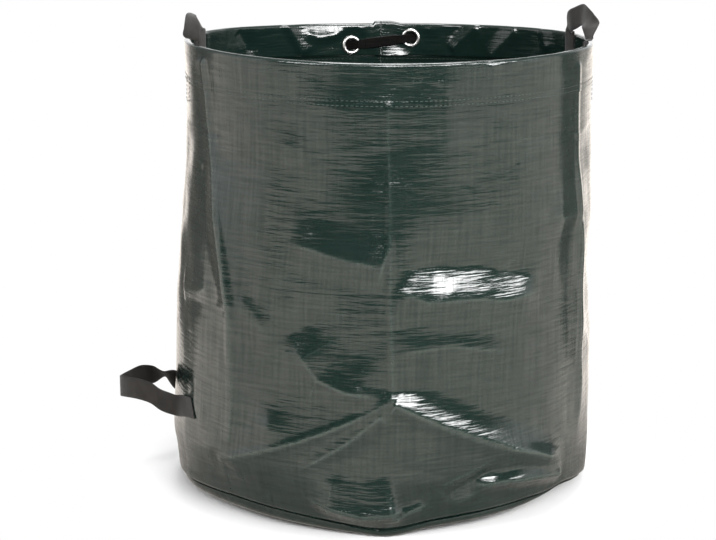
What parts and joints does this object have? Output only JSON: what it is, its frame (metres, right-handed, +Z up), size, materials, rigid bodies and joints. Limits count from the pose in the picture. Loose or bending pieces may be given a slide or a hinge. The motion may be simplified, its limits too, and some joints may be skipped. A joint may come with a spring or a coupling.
{
  "type": "pop up leaf bag",
  "caption": "Standing garden bag of woven fabric, held open by a springy hoop in its hem, with webbing carrying handles and a low tipping handle.",
  "frame": {"origin": "middle of the base, on the floor", "axes": "+Z up; the wall's lapped seam and the hoop's joint face +Y, the carrying handles face +X and -X, the tipping handle faces -X"},
  "size_m": [0.7975, 0.7114, 0.8025],
  "materials": {
    "woven_fabric": "dark green laminated tape weave, glossy",
    "hoop_plastic": "black, satin",
    "eyelet_metal": "bright nickel plate",
    "webbing": "black polypropylene webbing, dull"
  },
  "bodies": {
    "base": {"base_panel": "woven_fabric", "wall_panel": "woven_fabric"},
    "rim": {"hem_band": "woven_fabric", "hoop_band": "hoop_plastic", "hoop_sleeve": "hoop_plastic", "eyelet_left": "eyelet_metal", "eyelet_right": "eyelet_metal", "washer_left": "eyelet_metal", "washer_right": "eyelet_metal", "left_handle_front_end": "webbing", "left_handle_back_end": "webbing", "right_handle_front_end": "webbing", "right_handle_back_end": "webbing"},
    "left_handle": {"left_handle": "webbing"},
    "right_handle": {"right_handle": "webbing"},
    "tip_mount": {"tip_handle_front_end": "webbing", "tip_handle_back_end": "webbing"},
    "tip_handle": {"tip_handle": "webbing"}
  },
  "joints": [
    {"name": "rim_collapse", "type": "slide", "parent": "base", "child": "rim", "axis": [0, 0, 1], "range_m": [-0.55, 0], "stiffness_N_per_m": 10, "springref_m": 0.4, "deforming": ["wall_panel"]},
    {"name": "left_handle_swing", "type": "hinge", "parent": "rim", "child": "left_handle", "pos_m": [-0.30062, 0, 0.74842], "axis": [0, -1, 0], "range_deg": [-110, 60], "stiffness_Nm_per_rad": 0.02},
    {"name": "right_handle_swing", "type": "hinge", "parent": "rim", "child": "right_handle", "pos_m": [0.31262, 0, 0.74473], "axis": [0, 1, 0], "range_deg": [-110, 60], "stiffness_Nm_per_rad": 0.02},
    {"name": "tip_mount_slide", "type": "slide", "parent": "base", "child": "tip_mount", "axis": [0, 0, 1], "range_m": [-0.11, 0]},
    {"name": "tip_handle_swing", "type": "hinge", "parent": "tip_mount", "child": "tip_handle", "pos_m": [-0.35775, 0.03445, 0.146], "axis": [-0.0958, -0.9954, 0], "range_deg": [-35, 35], "stiffness_Nm_per_rad": 0.06, "springref_deg": -5.73}
  ],
  "couplings": [
    {"joint": "tip_mount_slide", "follows": "rim_collapse", "ratio": 0.18}
  ]
}
